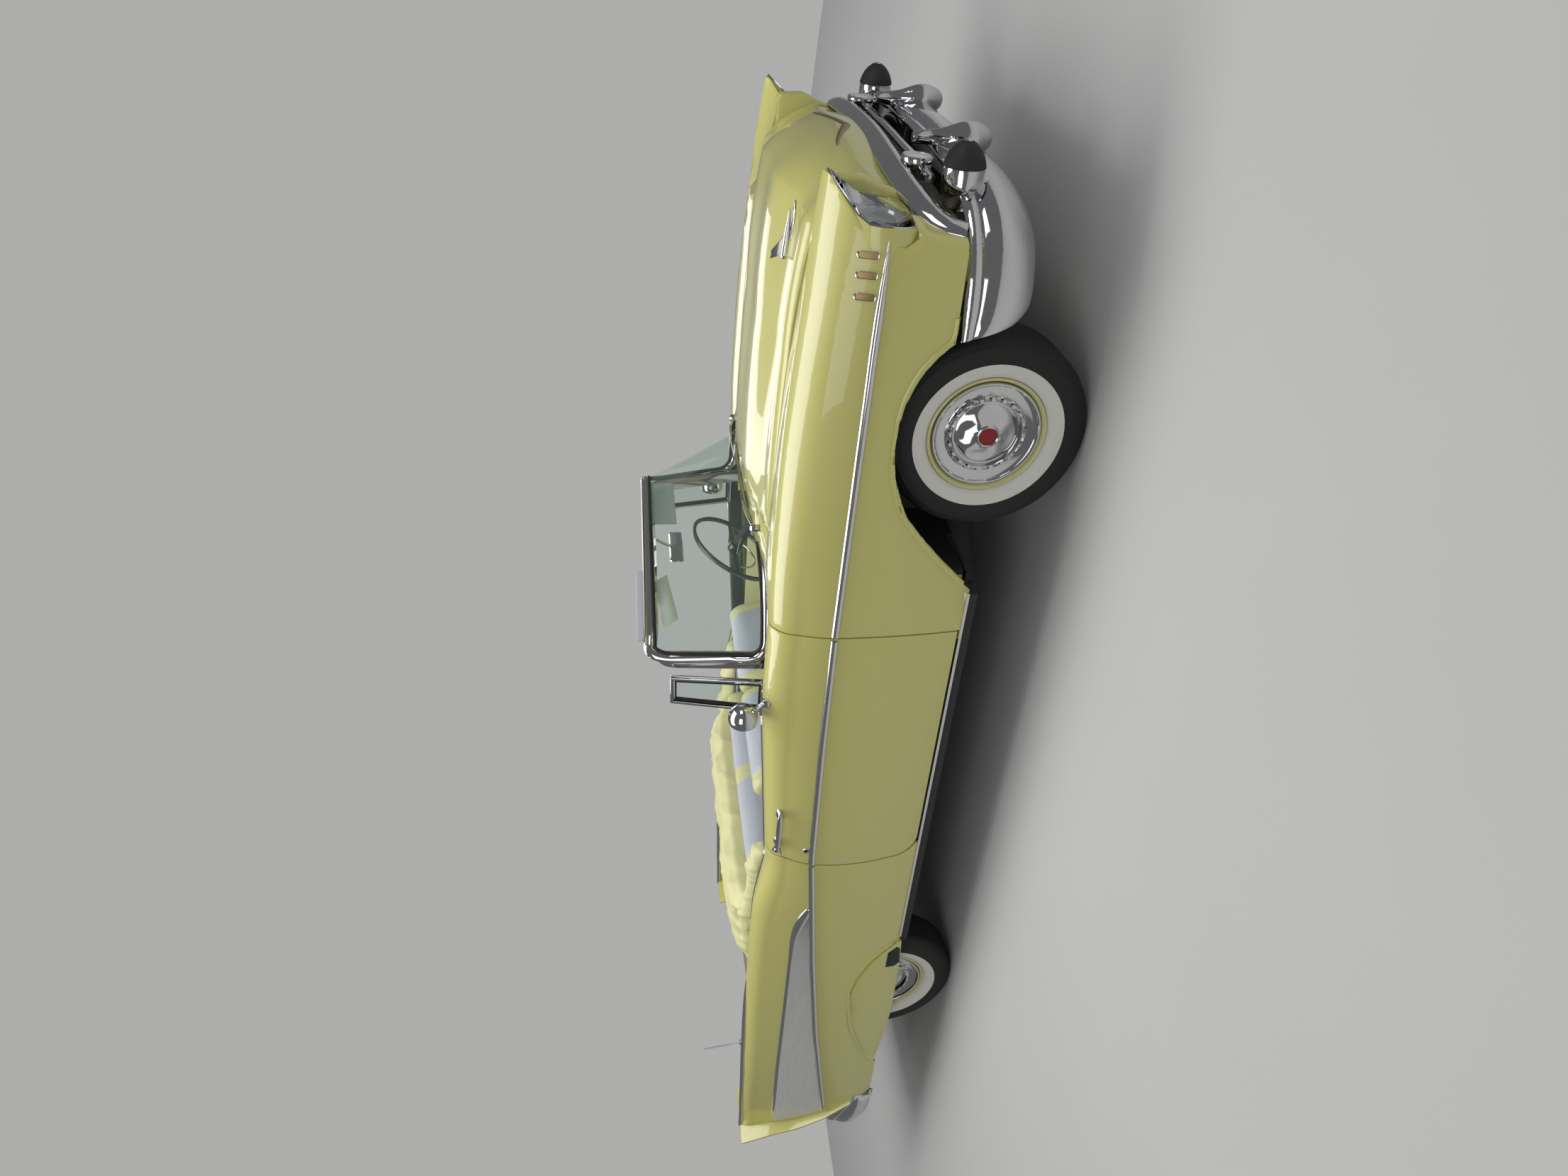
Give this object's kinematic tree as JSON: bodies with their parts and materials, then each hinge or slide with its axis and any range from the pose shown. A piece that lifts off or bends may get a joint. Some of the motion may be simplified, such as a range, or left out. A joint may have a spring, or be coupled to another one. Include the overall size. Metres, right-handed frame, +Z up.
{
  "type": "1950s classic car",
  "caption": "Full-size open-top 1950s car with tail fins, wrapped windshield, bench seats, opening doors, hood and trunk, and wheels that roll and steer.",
  "frame": {"origin": "on the ground under the middle of the car, midway between its ends", "axes": "+X forward to the front bumper, +Y to the car's left, +Z up"},
  "size_m": [5.08, 1.8766, 1.4699],
  "materials": {
    "paint": "pale yellow gloss enamel",
    "chassis": "black chassis paint",
    "underbody": "dark grey sealed sheet",
    "glass": "clear laminated glass, faint green",
    "chrome": "bright plated",
    "wheel_rim_plastic": "pale yellow moulded rim",
    "seat_vinyl": "pale yellow vinyl",
    "boot_vinyl": "soft pale yellow vinyl",
    "iron": "dark cast and forged parts",
    "steel": "bare steel pipe",
    "tyre": "black rubber with a white band",
    "wheel_steel": "painted rim with a bright full cap"
  },
  "bodies": {
    "car_body": {"antenna": "chrome", "cabin_walls": "seat_vinyl", "cowl": "paint", "dashboard": "paint", "engine": "iron", "exhaust": "steel", "fender_left": "paint", "fender_right": "paint", "floor_pan": "underbody", "frame": "chassis", "front_aprons": "underbody", "front_bumper": "chrome", "front_seat": "seat_vinyl", "front_spears": "chrome", "front_suspension": "iron", "fuel_tank": "underbody", "grille": "chrome", "headlamps": "chrome", "quarter_left": "paint", "quarter_right": "paint", "rear_axle": "iron", "rear_bumper": "chrome", "rear_seat": "seat_vinyl", "rear_skirts": "paint", "rear_trim": "chrome", "steering_column": "paint", "sun_visors": "seat_vinyl", "tail_lamps": "chrome", "tail_panel": "paint", "top_boot": "boot_vinyl", "wheelhouses": "underbody", "windshield_frame": "chrome", "windshield_glass": "glass", "wiper_pivots": "chrome"},
    "door_right": {"door_right": "paint", "vent_window_right": "chrome", "mirror_right": "chrome", "door_spear_right": "chrome"},
    "door_left": {"door_left": "paint", "vent_window_left": "chrome", "mirror_left": "chrome", "door_spear_left": "chrome"},
    "hood": {"hood": "paint", "hood_ornaments": "chrome"},
    "trunk_lid": {"trunk_lid": "paint"},
    "seat_back_right": {"seat_back_right": "seat_vinyl"},
    "seat_back_left": {"seat_back_left": "seat_vinyl"},
    "steering_wheel": {"steering_wheel": "wheel_rim_plastic"},
    "knuckle_right": {"knuckle_right": "iron"},
    "knuckle_left": {"knuckle_left": "iron"},
    "wheel_front_right": {"tyre_front_right": "tyre", "wheel_front_right": "wheel_steel"},
    "wheel_front_left": {"tyre_front_left": "tyre", "wheel_front_left": "wheel_steel"},
    "wheel_rear_right": {"tyre_rear_right": "tyre", "wheel_rear_right": "wheel_steel"},
    "wheel_rear_left": {"tyre_rear_left": "tyre", "wheel_rear_left": "wheel_steel"}
  },
  "joints": [
    {"name": "wheel_front_right_spin", "type": "hinge", "parent": "knuckle_right", "child": "wheel_front_right", "pos_m": [1.682, -0.7365, 0.335], "axis": [0, 1, 0], "continuous": true},
    {"name": "wheel_front_left_spin", "type": "hinge", "parent": "knuckle_left", "child": "wheel_front_left", "pos_m": [1.682, 0.7365, 0.335], "axis": [0, 1, 0], "continuous": true},
    {"name": "wheel_rear_right_spin", "type": "hinge", "parent": "car_body", "child": "wheel_rear_right", "pos_m": [-1.239, -0.747, 0.335], "axis": [0, 1, 0], "continuous": true},
    {"name": "wheel_rear_left_spin", "type": "hinge", "parent": "car_body", "child": "wheel_rear_left", "pos_m": [-1.239, 0.747, 0.335], "axis": [0, 1, 0], "continuous": true},
    {"name": "steer_right", "type": "hinge", "parent": "car_body", "child": "knuckle_right", "pos_m": [1.682, -0.65, 0.335], "axis": [0, 0, 1], "range_deg": [-28, 28]},
    {"name": "steer_left", "type": "hinge", "parent": "car_body", "child": "knuckle_left", "pos_m": [1.682, 0.65, 0.335], "axis": [0, 0, 1], "range_deg": [-28, 28]},
    {"name": "steering_wheel_turn", "type": "hinge", "parent": "car_body", "child": "steering_wheel", "pos_m": [0.491, 0.37, 1.012], "axis": [-0.8829, 0, 0.4695], "range_deg": [-570, 570]},
    {"name": "door_right_swing", "type": "hinge", "parent": "car_body", "child": "door_right", "pos_m": [0.96, -0.933, 0.62], "axis": [0, 0, 1], "range_deg": [0, 62]},
    {"name": "door_left_swing", "type": "hinge", "parent": "car_body", "child": "door_left", "pos_m": [0.96, 0.933, 0.62], "axis": [0, 0, -1], "range_deg": [0, 62]},
    {"name": "hood_lift", "type": "hinge", "parent": "car_body", "child": "hood", "pos_m": [1.15, 0, 1.014], "axis": [0, -1, 0], "range_deg": [0, 55]},
    {"name": "trunk_lift", "type": "hinge", "parent": "car_body", "child": "trunk_lid", "pos_m": [-1.3365, 0, 0.953], "axis": [0, 1, 0], "range_deg": [0, 60]},
    {"name": "seat_back_right_fold", "type": "hinge", "parent": "car_body", "child": "seat_back_right", "pos_m": [0.02, -0.33, 0.61], "axis": [0, 1, 0], "range_deg": [0, 58]},
    {"name": "seat_back_left_fold", "type": "hinge", "parent": "car_body", "child": "seat_back_left", "pos_m": [0.02, 0.33, 0.61], "axis": [0, 1, 0], "range_deg": [0, 58]}
  ],
  "couplings": [
    {"joint": "steer_left", "follows": "steer_right", "ratio": 1},
    {"joint": "steering_wheel_turn", "follows": "steer_right", "ratio": 20}
  ]
}
